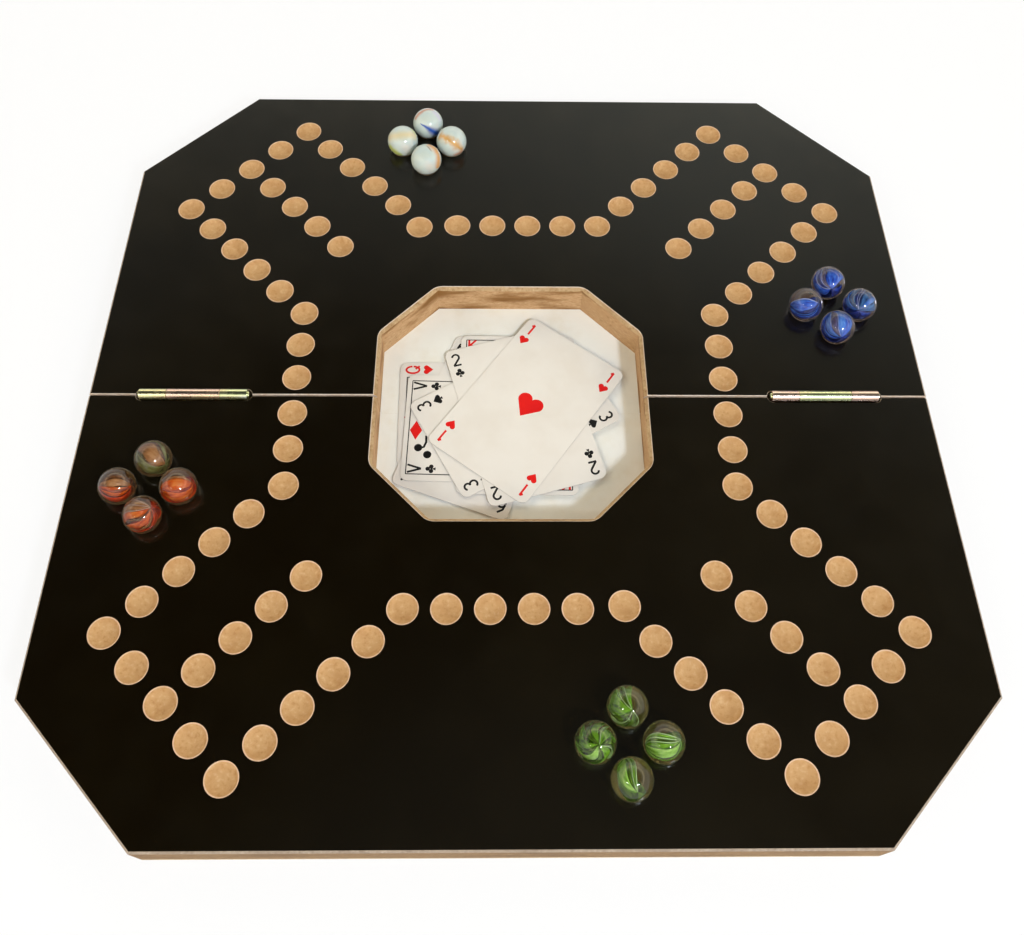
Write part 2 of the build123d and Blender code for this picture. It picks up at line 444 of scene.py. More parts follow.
def fit_piece(piece, node, body):
    """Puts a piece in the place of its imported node."""
    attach(piece, body)
    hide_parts(node)


def arc_points(middle, radius, start, end, steps):
    """Points along an arc in the plane, angles in degrees."""
    turns = [radians(start + (end - start) * step / steps) for step in range(steps + 1)]
    return [(middle[0] + radius * cos(turn), middle[1] + radius * sin(turn)) for turn in turns]


def ring_points(middle, radius, sides):
    """Points of a closed round outline."""
    return arc_points(middle, radius, 0, 360, sides)[:-1]


def filled(outlines):
    """Triangles that fill the first outline, with the outlines round each, and all their points."""
    flat, groups = [], []
    for outline in outlines:
        groups.append(list(range(len(flat), len(flat) + len(outline))))
        flat += [Vector(point[:2]) for point in outline]
    points, _, triangles, given, _, sources = delaunay_2d_cdt(flat, [], groups, 1, 1e-7)
    placed_at = {first: step for step, group in enumerate(given) for first in group}
    rings = [[placed_at[corner] for corner in group] for group in groups]
    return points, [pair for pair in zip(triangles, sources) if 0 in pair[1]], rings


def slot_path(middle):
    """Edge of one hinge slot in the far half, from left to right."""
    end_radius = slot_width / 2
    reach = leaf_reach + slot_end_clearance - end_radius
    dip = degrees(asin(fold_y / end_radius))
    left = arc_points((middle - reach, 0), end_radius, 180 - dip, 90, corner_steps)
    right = arc_points((middle + reach, 0), end_radius, 90, dip, corner_steps)
    return left + right


def outer_path():
    """Outer edge of the far half, from the right end of the fold round to the left end."""
    x, y = board_high.x, board_high.y
    right = [(x, fold_y), (x, y - corner_cut), (x - corner_cut, y)]
    return right + [(corner_cut - x, y), (-x, y - corner_cut), (-x, fold_y)]


def rim_rows():
    """Top and foot of the tray's sloped rim in the far half, each from left to right."""
    x, y, cut = tray_width / 2, tray_depth / 2, tray_corner_cut
    corners = [(-x, y - cut), (cut - x, y), (x - cut, y), (x, y - cut)]
    foot_radius = rim_corner_radius - rim_width
    tops = [(-x - rim_width, fold_y + fold_arris)]
    feet = [(-x, fold_y, rim_width)]
    for number, corner in enumerate(corners):
        first = 180 - 45 * number
        facing = radians(first - 22.5)
        inward = foot_radius / cos(radians(22.5))
        middle = (corner[0] - inward * cos(facing), corner[1] - inward * sin(facing))
        for step in range(corner_steps + 1):
            swing = 45 * step / corner_steps
            reach = foot_radius / cos(radians(min(swing, 45 - swing)))
            turn = radians(first - swing)
            across, away = cos(turn), sin(turn)
            tops.append((middle[0] + rim_corner_radius * across, middle[1] + rim_corner_radius * away))
            feet.append((middle[0] + reach * across, middle[1] + reach * away, rim_corner_radius - reach))
    tops.append((x + rim_width, fold_y + fold_arris))
    feet.append((x, fold_y, rim_width))
    return tops, feet


def inset_corners(loop, distances):
    """Closed path moved to its left, each side by its own distance."""
    moved = []
    for step, corner in enumerate(loop):
        come = (Vector(corner) - Vector(loop[step - 1])).normalized()
        leave = (Vector(loop[(step + 1) % len(loop)]) - Vector(corner)).normalized()
        first, second = Vector((-come.y, come.x)), Vector((-leave.y, leave.x))
        one, two = distances[step - 1], distances[step]
        turn = first.x * second.y - first.y * second.x
        if abs(turn) < 0.001:
            move = first * max(one, two)
        else:
            move = Vector((one * second.y - two * first.y, two * first.x - one * second.x)) / turn
        moved.append((corner[0] + move.x, corner[1] + move.y))
    return moved


def edge_rows(loop, kinds, rim_tops, rim_feet):
    """Foot, line and crest of the broken edges and of the tray's rim, round the far half."""
    breaks = [outer_arris if kind == "outer" else fold_arris for kind in kinds]
    crest = [(x, y, top) for x, y in inset_corners(loop, breaks)]
    feet = [(x, y, top - max(breaks[step - 1], breaks[step])) for step, (x, y) in enumerate(loop)]
    lines = list(feet)
    start = loop.index(rim_feet[0][:2])
    for place, ((x, y, drop), rim_top) in enumerate(zip(rim_feet, rim_tops), start):
        feet[place] = (x, y, top - drop)
        crest[place] = (*rim_top, top)
        lines[place] = tuple(Vector(crest[place]).lerp(Vector(feet[place]), rim_line / drop))
    for place in (start, start + len(rim_feet) - 1):
        lines[place] = (lines[place][0], fold_y, lines[place][2])
    return feet, lines, crest


def add_recess(shape, middle, below, above):
    """Recess for a hinge leaf, from the rows at the foot of the board and at the slot's floor."""
    reach = leaf_reach + recess_clearance
    left, right, back = middle - reach, middle + reach, leaf_face + leaf_thickness
    plan = [(left, fold_y), (left, back), (right, back), (right, fold_y)]
    mouth = shape.row([(x, y, top - slot_depth) for x, y in plan])
    foot = shape.row([(x, y, leaf_low.z - recess_clearance) for x, y in plan])
    shape.face([*above[::-1], *mouth], "slot")
    sill = [above[-1], mouth[3], foot[3], foot[0], mouth[0], above[0]]
    shape.face([below[0], below[-1], *sill], "wall")
    for step in (1, 0, 2):
        shape.side(foot, mouth, step, "slot")
    shape.face(foot[::-1], "slot")


def dimple_middles(board):
    """Middle of each dimple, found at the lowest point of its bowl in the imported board."""
    floor = top + dimple_rise - dimple_radius
    found = {}
    for vertex in frame["nodes"][board].data.vertices:
        if abs(vertex.co.z - floor) < 0.00001:
            found[(round(vertex.co.x, 5), round(vertex.co.y, 5))] = vertex.co.xy.copy()
    return list(found.values())


def node_middle(name):
    """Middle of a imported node's box."""
    low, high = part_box(name)
    return (low + high) / 2


def holds_marble(middle):
    """Whether a marble lies on the dimple at the middle."""
    marbles = [node_middle(name) for name in frame["nodes"] if "marble" in name]
    return any((marble - middle.to_3d()).xy.length < dimple_radius / 2 for marble in marbles)


def add_dimple(shape, middle, lip_row):
    """Bowl of one dimple inside its lip; where a marble lies on the dimple the lip is painted black as
    painted shade.
    """
    finish = "black" if holds_marble(middle) else "lip"
    before = lip_row
    for ring in range(dimple_rings):
        turn = bowl_angle * (1 - ring / dimple_rings) - lip_slope * (ring == 0)
        height = top + dimple_rise - dimple_radius * cos(turn)
        circle = ring_points(middle, dimple_radius * sin(turn), dimple_sides)
        row = shape.row([(x, y, height) for x, y in circle])
        for step in range(dimple_sides):
            shape.side(row, before, step, finish)
        before, finish = row, "dimple"
    pit = shape.row([(*middle, top + dimple_rise - dimple_radius)])
    for step in range(dimple_sides):
        shape.side(pit * dimple_sides, before, step, finish)


edge_finishes = {
    "outer": ("edge", "edge", "arris", "arris"),
    "fold": ("wall", "cut_line", "cut_line", "cut_line"),
    "slot": ("slot", "slot", "arris", "arris"),
    "tray": ("wall", "wall", "rim", "cut_line"),
}


def board_shape():
    """Shape of the far half-board."""
    shape = Shape()
    rim_tops, rim_feet = rim_rows()
    slots = {middle: slot_path(middle) for middle in (-hinge_middle, hinge_middle)}
    left_slot, right_slot = slots.values()
    loop, kinds = [], []
    tray_path = [point[:2] for point in rim_feet]
    paths = ((outer_path(), "outer"), (left_slot, "slot"), (tray_path, "tray"), (right_slot, "slot"))
    for path, kind in paths:
        loop += path
        kinds += [kind] * (len(path) - 1) + ["fold"]
    steps = range(len(loop))
    feet, lines, crest = edge_rows(loop, kinds, rim_tops, rim_feet)
    bottom_row = shape.row([(x, y, board_low.z) for x, y in loop])
    shelf_row = shape.row([(x, y, top - slot_depth) for x, y in loop])
    rows = [bottom_row, shelf_row, shape.row(feet), shape.row(lines)]
    long_sides = [loop.index(path[corner_steps]) for path in slots.values()]

    def add_band(step, level):
        finish = "black" if step in long_sides and level > 1 else edge_finishes[kinds[step]][level]
        if kinds[step] != "slot" or level > 0:
            shape.side(rows[level], rows[level + 1], step, finish)

    for step in steps:
        for level in range(3):
            add_band(step, level)
    for middle, path in slots.items():
        start = loop.index(path[0])
        end = start + len(path)
        add_recess(shape, middle, bottom_row[start:end], shelf_row[start:end])
    inner = [step for step in steps if kinds[step] == "slot" and kinds[step - 1] == "slot"]
    shape.face([bottom_row[step] for step in steps if step not in inner][::-1], "wall")

    middles = dimple_middles("far_board")
    mouth_radius = dimple_radius * sin(bowl_angle) + dimple_lip
    mouths = [ring_points(middle, mouth_radius, dimple_sides) for middle in middles]
    points, triangles, rings = filled([crest, *mouths])
    top_row = shape.row([(*point, top) for point in points])
    for triangle, source in triangles:
        if len(source) == 1:
            shape.face([top_row[corner] for corner in triangle], "black")
    crest_row, *lip_rows = [[top_row[corner] for corner in ring] for ring in rings]
    rows.append(crest_row)
    for step in steps:
        add_band(step, 3)
    for middle, lip_row in zip(middles, lip_rows):
        add_dimple(shape, middle, lip_row)
    return shape


def weld(mesh):
    """Joins the mesh's doubled vertices."""
    shape = bmesh.new()
    shape.from_mesh(mesh)
    bmesh.ops.remove_doubles(shape, verts=shape.verts, dist=0.000002)
    shape.to_mesh(mesh)
    shape.free()


far_shape = board_shape()
for name, body, turn in (("far_board", "far_half", 0), ("near_board", "near_half", pi)):
    mesh = far_shape.mesh(name, board_finishes)
    weld(mesh)
    mesh.transform(Matrix.Rotation(turn, 4, "Z"))
    smooth(mesh, 25)
    fit_piece(new_object(name + "_faced", mesh), name, body)

# Tray floor
# A thin fibre sheet is glued under each half-board. Its warm white face is up and shows in the
# tray, its sawn edge is cream, and its brown back lies on the table.
sheet_white = (0.88, 0.88, 0.83, 1)
sheet_scuff = (0.82, 0.79, 0.70, 1)
sheet_cream = (0.62, 0.49, 0.33, 1)
sheet_brown = (0.36, 0.23, 0.12, 1)
seam_reach = 0.0003
seam_share = 0.15

sheet_finish, tree, shader = new_material("white_faced_sheet", {"Specular IOR Level": 0.4})
place = object_place(tree)
facing = place_node(tree, "ShaderNodeTexCoord").outputs["Normal"]
up = place_node(tree, "ShaderNodeSeparateXYZ", {0: facing}).outputs["Z"]
white_side = between(tree, up, 0.85, 0.95)
values = {
    "Place": place,
    "Fibre": mix_colours(tree, between(tree, up, -0.9, -0.5), sheet_brown, sheet_cream),
    "Speck": (0.2, 0.12, 0.06, 1),
    "Light": (0.74, 0.62, 0.45, 1),
    "Speck Scale": 800.0,
    "Blotch Scale": 120.0,
    "Blotch": 0.25,
}
fibres = use_group(tree, fibre_group, values)
scuffs = between(tree, noise(tree, place, 60.0, 5.0, 0.6), 0.45, 0.8)
white = mix_colours(tree, scuffs, sheet_white, sheet_scuff)
tree.links.new(mix_colours(tree, white_side, fibres["Color"], white), shader["Base Color"])
tree.links.new(between(tree, white_side, 0.0, 1.0, 0.8, 0.38), shader["Roughness"])
tree.links.new(bump(tree, fibres["Height"], 0.00004, 0.4), shader["Normal"])
for name, body in (("far_floor_panel", "far_half"), ("near_floor_panel", "near_half")):
    mesh = frame["nodes"][name].data.copy()
    for vertex in mesh.vertices:
        if abs(vertex.co.y) < seam_reach:
            vertex.co.y *= seam_share
    mesh.materials.clear()
    mesh.materials.append(sheet_finish)
    fit_piece(new_object(name + "_faced", mesh), name, body)

# Hinges
# Each butt hinge is two leaves of thin steel, rolled at the top round a steel pin, two knuckles
# on the near leaf and one on the far leaf, then plated with yellow zinc that shows faint colours.
roll_inner = 0.0015
roll_outer = 0.0026
roll_slit = 0.0003
roll_steps = 40
plate_drop = 0.0008
plate_overlap = 0.0001
middle_knuckle = 0.025
knuckle_clearance = 0.0002
steel_bevel = 0.00012
pin_radius = 0.0015
pin_dome = 0.0006
turned_sides = 32

zinc_pink = (0.82, 0.60, 0.48, 1)
zinc_green = (0.70, 0.74, 0.42, 1)
zinc_gold = (0.84, 0.72, 0.42, 1)
zinc_pale = (0.70, 0.76, 0.66, 1)

zinc_inputs = {"Vector": ["Place"], "Color": ["First", "Second", "Third"], "Float": ["Shift"]}
zinc_outputs = {"Color": ["Color"], "Float": ["Roughness", "Height"]}
zinc_group, given, result = new_group("yellow_zinc", zinc_inputs, zinc_outputs)
tree = zinc_group
drift = noise(tree, stretched(tree, given["Place"], (0.35, 1, 1)), 140.0)
drift = math_node(tree, "ADD", drift, given["Shift"])
colour = mix_colours(tree, between(tree, drift, 0.35, 0.6), given["First"], given["Second"])
colour = mix_colours(tree, between(tree, drift, 0.6, 0.8), colour, given["Third"])
lines = noise(tree, stretched(tree, given["Place"], (0.06, 1, 1)), 1500.0)
smudge = noise(tree, given["Place"], 220.0)
tree.links.new(colour, result["Color"])
tree.links.new(between(tree, smudge, 0.3, 0.8, 0.24, 0.32), result["Roughness"])
tree.links.new(lines, result["Height"])


def zinc_material(name, shift, *colours):
    """Plated steel whose faint colours start at a different point for each piece."""
    made, tree, shader = new_material(name, {"Metallic": 1.0, "Specular IOR Level": 0.5})
    values = dict(zip(zinc_inputs["Color"], colours))
    plating = use_group(tree, zinc_group, {"Place": object_place(tree), "Shift": shift, **values})
    tree.links.new(plating["Color"], shader["Base Color"])
    tree.links.new(plating["Roughness"], shader["Roughness"])
    tree.links.new(bump(tree, plating["Height"], 0.00001, 0.3), shader["Normal"])
    return made


leaf_finishes = {
    "left_hinge_near": zinc_material("zinc_left_near", 0.05, zinc_gold, zinc_green, zinc_pale),
    "left_hinge_far": zinc_material("zinc_left_far", -0.10, zinc_pink, zinc_gold, zinc_green),
    "right_hinge_near": zinc_material("zinc_right_near", -0.15, zinc_pink, zinc_pink, zinc_gold),
    "right_hinge_far": zinc_material("zinc_right_far", 0.12, zinc_gold, zinc_green, zinc_green),
}
pin_finish = zinc_material("zinc_pin", 0.3, zinc_gold, zinc_gold, zinc_green)


def extrude_outline(outline, start, end):
    """Vertices and faces of a (y, z) outline drawn out along X from start to end."""
    count = len(outline)
    verts = [(x, y, z) for x in (start, end) for y, z in outline]
    sides = [[step, (step + 1) % count, (step + 1) % count + count, step + count] for step in range(count)]
    return verts, [*sides, list(range(count))[::-1], list(range(count, 2 * count))]


def rolled_outline(side, drop):
    """End view of a knuckle and its leaf about the pin; side is 1 for the far leaf."""
    leaf_back = leaf_face + leaf_thickness
    outer_angle = degrees(atan2(-sqrt(roll_outer**2 - leaf_back**2), leaf_back))
    end_angle = 270 - degrees(asin(roll_slit / roll_outer))
    inner_end = degrees(atan2(-sqrt(roll_inner**2 - leaf_face**2), leaf_face))
    outer = arc_points((0, 0), roll_outer, outer_angle, end_angle, roll_steps)
    inner = arc_points((0, 0), roll_inner, end_angle, inner_end, roll_steps)
    outline = [(leaf_back, -drop), *outer, *inner, (leaf_face, -drop)]
    return outline if side > 0 else [(-y, z) for y, z in outline[::-1]]


def cut_or_join(piece, tools, operation):
    """Joins the tools to the piece, or cuts them away, and deletes them."""
    for tool in tools:
        step = piece.modifiers.new("step", "BOOLEAN")
        step.operation = operation
        step.object = tool
        step.solver = "EXACT"
    bpy.context.view_layer.update()
    shaped = piece.evaluated_get(bpy.context.evaluated_depsgraph_get())
    mesh = bpy.data.meshes.new_from_object(shaped)
    piece.modifiers.clear()
    piece.data = mesh
    for tool in tools:
        bpy.data.objects.remove(tool)


def add_leaf(name, body, side, spans):
    """One hinge leaf with its rolled knuckles over the spans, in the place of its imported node."""
    node = name + "_leaf"
    low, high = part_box(node)
    middle = Vector(((low.x + high.x) / 2, 0, high.z - roll_outer))
    reach = (high.x - low.x) / 2
    drop = middle.z - low.z
    neck = roll_outer + plate_drop
    near, far = sorted((side * leaf_face, side * (leaf_face + leaf_thickness)))
    plate = [(near, -drop), (far, -drop), (far, -neck), (near, -neck)]
    leaf = new_object(node + "_rolled", new_mesh(node, *extrude_outline(plate, -reach, reach)))
    knuckle = rolled_outline(side, neck + plate_overlap)
    shapes = [extrude_outline(knuckle, start, end) for start, end in spans]
    cut_or_join(leaf, [new_object("knuckle", new_mesh("knuckle", *shape)) for shape in shapes], "UNION")
    leaf.location = middle
    soften = leaf.modifiers.new("broken_edges", "BEVEL")
    soften.width = steel_bevel
    soften.segments = 2
    soften.angle_limit = radians(50)
    smooth(leaf.data, 40)
    leaf.data.materials.clear()
    leaf.data.materials.append(leaf_finishes[name])
    fit_piece(leaf, node, body)


def add_pin(node):
    """Round hinge pin with domed ends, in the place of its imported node."""
    low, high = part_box(node)
    reach = (high.x - low.x) / 2
    tip = arc_points((reach - pin_dome, pin_radius - pin_dome), pin_dome, 90, 0, 4)
    half = [(radius, along) for along, radius in tip] + [(0, reach)]
    profile = [(radius, -along) for radius, along in half[::-1]] + half
    pin = new_object(node + "_round", new_mesh(node, *turned_shape(profile, turned_sides)))
    pin.data.transform(Matrix.Rotation(pi / 2, 4, "Y"))
    pin.location = node_middle(node)
    pin.data.materials.append(pin_finish)
    fit_piece(pin, node, frame["nodes"][node]["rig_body"])


knuckle_gap = middle_knuckle / 2 + knuckle_clearance
near_spans = [(-leaf_reach, -knuckle_gap), (knuckle_gap, leaf_reach)]
far_spans = [(-middle_knuckle / 2, middle_knuckle / 2)]
for hinge in ("left_hinge", "right_hinge"):
    add_leaf(hinge + "_near", "near_half", -1, near_spans)
    add_leaf(hinge + "_far", "far_half", 1, far_spans)
    add_pin(hinge + "_pin")

# Screws
# Countersunk wood screws with a cross recess hold each leaf to the edge of its half-board. They
# are plated like the hinges.
screw_head_radius = 0.0022
screw_shank_radius = 0.0012
screw_root_share = 0.8
screw_point = 0.003
screw_length = 0.012
screw_shank = 0.002
screw_neck = 0.0004
thread_pitch = 0.0011
recess_reach = 0.0013
recess_width = 0.00036
recess_depth = 0.0008
recess_above = 0.0002
screw_turn = 25
screw_turn_apart = 47
screw_side_turn = 20

screw_finish = zinc_material("zinc_screw", 0.0, zinc_gold, zinc_pink, zinc_green)


def screw_profile():
    """Half outline of a screw from its point to its head's face, with shallow threads."""
    root = screw_shank_radius * screw_root_share
    turns = int((screw_length - screw_point - screw_shank) / thread_pitch)
    profile = [(0, -screw_length), (root, screw_point - screw_length)]
    for turn in range(turns):
        start = screw_point - screw_length + turn * thread_pitch
        profile += [(root, start), (screw_shank_radius, start + thread_pitch / 2)]
    neck = screw_shank_radius - screw_head_radius
    profile += [(root, neck - screw_neck), (screw_shank_radius, neck), (screw_head_radius, 0), (0, 0)]
    return profile


def cross_recess():
    """Tapered cross that the driver's recess is cut with."""
    tools = []
    for turn in (0, pi / 2):
        rows = ((recess_reach / 2, -recess_depth), (recess_reach, recess_above))
        signs = ((-1, -1), (1, -1), (1, 1), (-1, 1))
        corners = [(across * x, away * recess_width, z) for x, z in rows for across, away in signs]
        faces = [(3, 2, 1, 0), (4, 5, 6, 7), (0, 1, 5, 4), (1, 2, 6, 5), (2, 3, 7, 6), (3, 0, 4, 7)]
        arm = new_object("recess", new_mesh("recess", corners, faces))
        arm.data.transform(Matrix.Rotation(turn, 4, "Z"))
        tools.append(arm)
    return tools


def add_screws(node, body, side, master):
    """The pair of screws in one leaf, driven toward the board on the given side of the fold."""
    low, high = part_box(node)
    y = low.y if side > 0 else high.y
    pair = bmesh.new()
    for number, x in enumerate((low.x + screw_head_radius, high.x - screw_head_radius)):
        screw = master.copy()
        turn = screw_turn + screw_turn_apart * number + screw_side_turn * side
        screw.transform(Matrix.Rotation(radians(turn), 4, "Z"))
        screw.transform(Matrix.Rotation(radians(90 * side), 4, "X"))
        screw.transform(Matrix.Translation((x, y, (low.z + high.z) / 2)))
        pair.from_mesh(screw)
    mesh = bpy.data.meshes.new(node)
    pair.to_mesh(mesh)
    pair.free()
    smooth(mesh, 35)
    mesh.materials.append(screw_finish)
    fit_piece(new_object(node + "_threaded", mesh), node, body)


screw_master = new_object("screw_master", new_mesh("screw", *turned_shape(screw_profile(), turned_sides)))
cut_or_join(screw_master, cross_recess(), "DIFFERENCE")
for hinge in ("left_hinge", "right_hinge"):
    add_screws(hinge + "_near_screws", "near_half", -1, screw_master.data)
    add_screws(hinge + "_far_screws", "far_half", 1, screw_master.data)
bpy.data.objects.remove(screw_master)

# White marbles
# Opaque white glass balls with thin streaks of coloured glass drawn through the surface. Each
# one has its own streaks: a blue wedge, ochre bands and a touch of yellow-green.
marble_sides = 64
marble_rings = 32
milk_white = (0.54, 0.61, 0.57, 1)
milk_blue = (0.44, 0.56, 0.60, 1)
milk_warm = (0.60, 0.56, 0.50, 1)
streak_colours = {
    "blue": (0.012, 0.07, 0.36, 1),
    "rust": (0.50, 0.24, 0.15, 1),
    "lilac": (0.50, 0.52, 0.66, 1),
    "ochre": (0.55, 0.31, 0.10, 1),
    "orange": (0.62, 0.33, 0.13, 1),
    "cream": (0.62, 0.55, 0.36, 1),
    "lime": (0.46, 0.52, 0.12, 1),
    "brown": (0.16, 0.10, 0.06, 1),
}


def add_ball(node, body, finish):
    """Smooth ball in the place of a packed marble."""
    low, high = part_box(node)
    radius = (high.z - low.z) / 2
    turns = [pi * step / marble_rings for step in range(1, marble_rings)]
    round_side = [(radius * sin(turn), -radius * cos(turn)) for turn in turns]
    shape = turned_shape([(0, -radius), *round_side, (0, radius)], marble_sides)
    ball = new_object(node + "_ball", new_mesh(node, *shape, 60), node_middle(node))
    ball.data.materials.append(finish)
    fit_piece(ball, node, body)


def spot_on_ball(place, across, rise):
    """Direction from a ball's middle to the spot that the picture shows there, in ball radii."""
    toward = (Vector(camera_place) - place).normalized()
    right = (Vector((1, 0, 0)) - toward * toward.x).normalized()
    up = toward.cross(right)
    depth = sqrt(max(0.0, 1 - across**2 - rise**2))
    return (right * across + up * rise + toward * depth).normalized()


def vector_node(tree, operation, *values):
    """Output of one Vector Math node on the given values or outputs."""
    made = place_node(tree, "ShaderNodeVectorMath", dict(enumerate(values)), operation=operation)
    return made.outputs["Value" if operation == "DOT_PRODUCT" else "Vector"]


streak_inputs = {
    "Vector": ["Place", "Across", "Along", "Middle"],
    "Float": ["Offset", "Start", "Reach", "Width", "End Width", "Waver"],
}
streak_group, given, result = new_group("glass_streak", streak_inputs, {"Float": ["Mask"]})
tree = streak_group
outward = vector_node(tree, "NORMALIZE", given["Place"])
runs = {}
for way, level in (("Across", "Offset"), ("Along", "Start"), ("Middle", "Reach")):
    run = vector_node(tree, "DOT_PRODUCT", outward, given[way])
    runs[way] = math_node(tree, "SUBTRACT", run, given[level])
width = place_node(tree, "ShaderNodeMapRange", {0: runs["Along"], 3: given["Width"], 4: given["End Width"]})
wander = math_node(tree, "SUBTRACT", noise(tree, given["Place"], 230.0, 3.0, 0.55), 0.5)
wander = math_node(tree, "MULTIPLY", wander, given["Waver"])
away = math_node(tree, "ABSOLUTE", math_node(tree, "ADD", runs["Across"], wander))
away = math_node(tree, "DIVIDE", away, width.outputs[0])
fade, ends = between(tree, away, 1.15, 0.0), between(tree, runs["Middle"], -0.04, 0.08)
tree.links.new(math_node(tree, "MULTIPLY", fade, ends), result["Mask"])


def streak_values(place, spots, width, end_width, waver):
    """Values of the streak that runs through three spots of a ball."""
    first, middle, last = [spot_on_ball(place, *spot) for spot in spots]
    across = (middle - first).cross(last - first).normalized()
    run = last - first
    along = run / run.length_squared
    return {
        "Across": across,
        "Offset": across.dot(middle),
        "Along": along,
        "Start": along.dot(first),
        "Middle": middle,
        "Reach": min(middle.dot(first), middle.dot(last)),
        "Width": width,
        "End Width": end_width,
        "Waver": waver,
    }


def white_marble_material(name, place, streaks):
    """Milky glass with streaks, each as (colour, three spots, start width, end width, waver)."""
    made, tree, shader = new_material(name, {"Roughness": 0.05, "Coat Weight": 0.3, "Coat Roughness": 0.03})
    at = object_place(tree)
    colour = mix_colours(tree, between(tree, noise(tree, at, 110.0), 0.3, 0.7), milk_white, milk_blue)
    colour = mix_colours(tree, between(tree, noise(tree, at, 75.0, 3.0), 0.5, 0.75), colour, milk_warm)
    for streak_colour, *streak in streaks:
        mask = use_group(tree, streak_group, {"Place": at, **streak_values(place, *streak)})["Mask"]
        colour = mix_colours(tree, mask, colour, streak_colours[streak_colour])
    tree.links.new(colour, shader["Base Color"])
    return made


white_streaks = {
    "far_marble_1": [
        ("blue", ((-0.55, 0.0), (0.15, -0.42), (0.62, -0.72)), 0.02, 0.52, 0.10),
        ("rust", ((-0.80, 0.38), (-0.35, 0.80), (0.40, 0.88)), 0.24, 0.24, 0.30),
        ("lilac", ((0.3, 0.8), (0.65, 0.5), (0.85, 0.1)), 0.30, 0.25, 0.2),
    ],
    "far_marble_2": [
        ("cream", ((-0.90, 0.22), (-0.05, 0.38), (0.90, 0.30)), 0.42, 0.40, 0.35),
        ("lime", ((-0.92, -0.30), (-0.55, -0.70), (-0.05, -0.97)), 0.34, 0.26, 0.25),
        ("lime", ((0.5, 0.8), (0.72, 0.6), (0.88, 0.35)), 0.16, 0.16, 0.2),
    ],
    "far_marble_3": [
        ("ochre", ((-0.82, 0.38), (0.0, 0.0), (0.72, -0.52)), 0.40, 0.34, 0.75),
        ("rust", ((0.1, -0.92), (0.5, -0.80), (0.8, -0.5)), 0.24, 0.24, 0.4),
    ],
    "far_marble_4": [
        ("orange", ((0.35, 0.85), (0.74, 0.35), (0.70, -0.60)), 0.42, 0.32, 0.40),
        ("brown", ((0.05, 0.82), (0.18, 0.72), (0.34, 0.52)), 0.09, 0.07, 0.25),
    ],
}
for name, streaks in white_streaks.items():
    finish = white_marble_material(name + "_glass", node_middle(name), streaks)
    add_ball(name, "far_marbles", finish)

# Clear marbles
# Clear glass balls with ribbons of coloured glass inside. The ribbons were laid along the rod
# that the ball was cut from, so they run between two poles, and each ball lies another way up.
core_radius = 0.0052
core_dip = 0.13
core_twist = 14
ribbon_rows = 36
ribbon_step = 6
ribbon_tip = 3
ribbon_thickness = 0.00015


def clear_glass(name, colour, let_through):
    """Clear glass that lets the lamps' light in to its ribbons, and less of it through to below."""
    made, tree, surface = bare_material(name)
    values = {"Base Color": colour, "Roughness": 0.0, "IOR": 1.5, "Transmission Weight": 1.0}
    shader = place_node(tree, "ShaderNodeBsdfPrincipled", values)
    clear = place_node(tree, "ShaderNodeBsdfTransparent", {"Color": (1, 1, 1, 1)})
    dimmed = place_node(tree, "ShaderNodeBsdfTransparent", {"Color": let_through})
    from_inside = place_node(tree, "ShaderNodeNewGeometry").outputs["Backfacing"]
    shades = {0: from_inside, 1: dimmed.outputs[0], 2: clear.outputs[0]}
    shade = place_node(tree, "ShaderNodeMixShader", shades)
    shadow = place_node(tree, "ShaderNodeLightPath").outputs["Is Shadow Ray"]
    mixed = place_node(tree, "ShaderNodeMixShader", {0: shadow, 1: shader.outputs[0], 2: shade.outputs[0]})
    tree.links.new(mixed.outputs[0], surface)
    return made


def ribbon_material(name, dark, middle, light, line_scale):
    """Coloured glass with fine lines that run from pole to pole of the core."""
    made, tree, shader = new_material(name, {"Roughness": 0.4, "Specular IOR Level": 0.3})
    place = object_place(tree)
    around = vector_node(tree, "NORMALIZE", vector_node(tree, "MULTIPLY", place, (1, 1, 0)))
    drawn = vector_node(tree, "ADD", around, vector_node(tree, "MULTIPLY", place, (0, 0, 90)))
    lines = noise(tree, drawn, line_scale)
    cloud = noise(tree, place, 260.0)
    colour = mix_colours(tree, between(tree, lines, 0.34, 0.50), dark, middle)
    colour = mix_colours(tree, between(tree, lines, 0.52, 0.66), colour, light)
    colour = mix_colours(tree, between(tree, cloud, 0.55, 0.8, 0.0, 0.6), colour, light)
    tree.links.new(colour, shader["Base Color"])
    return made


def add_ribbon(shape, finish, start, end, wave=0):
    """Sheet between two meridians of the core, in degrees; wave bends it from side to side."""
    columns = max(1, ceil((end - start) / ribbon_step))
    before = None
    for row in range(ribbon_rows + 1):
        fall = radians(ribbon_tip + (180 - 2 * ribbon_tip) * row / ribbon_rows)
        shift = wave * sin(2 * fall) + core_twist * cos(fall)
        points = []
        for column in range(columns + 1):
            turn = radians(start + (end - start) * column / columns + shift)
            radius = core_radius * (1 - core_dip * column / columns)
            out = radius * sin(fall)
            points.append((out * cos(turn), out * sin(turn), radius * cos(fall)))
        here = shape.row(points)
        if before:
            for one in range(columns):
                shape.face([before[one], here[one], here[one + 1], before[one + 1]], finish)
        before = here


def aim_core(place, pole):
    """Turn that points the core's pole at a spot of the ball, and its first meridian at the view."""
    line = spot_on_ball(place, *pole)
    toward = (Vector(camera_place) - place).normalized()
    first = (toward - line * toward.dot(line)).normalized()
    return Matrix((first, line.cross(first), line)).transposed().to_4x4()


